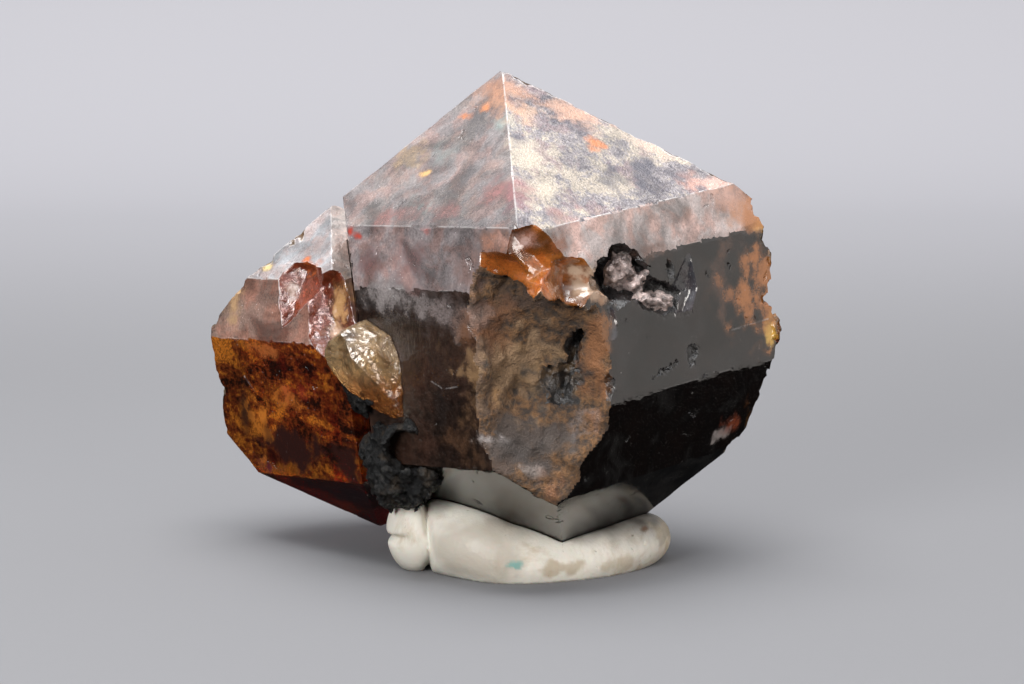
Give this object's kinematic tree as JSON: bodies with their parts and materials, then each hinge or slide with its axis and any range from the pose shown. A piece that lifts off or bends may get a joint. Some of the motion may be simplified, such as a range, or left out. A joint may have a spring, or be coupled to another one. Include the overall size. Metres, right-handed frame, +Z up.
{
  "type": "zircon crystal specimen",
  "caption": "Brown bipyramidal zircon crystal with a smaller crystal grown to its side, standing on a pinched strip of mineral putty.",
  "frame": {"origin": "on the table, under the middle of the whole object's box", "axes": "+Z up, the pictured front looks to -Y, the smaller crystal is on the -X side"},
  "size_m": [0.0305, 0.0218, 0.0262],
  "materials": {
    "zircon": "dark brown to orange-red clear crystal with vitreous, partly etched faces",
    "mineral_putty": "matt off-white putty with faint brown stains"
  },
  "bodies": {
    "root": {"zircon_crystal": "zircon", "putty_rest": "mineral_putty"}
  },
  "joints": []
}
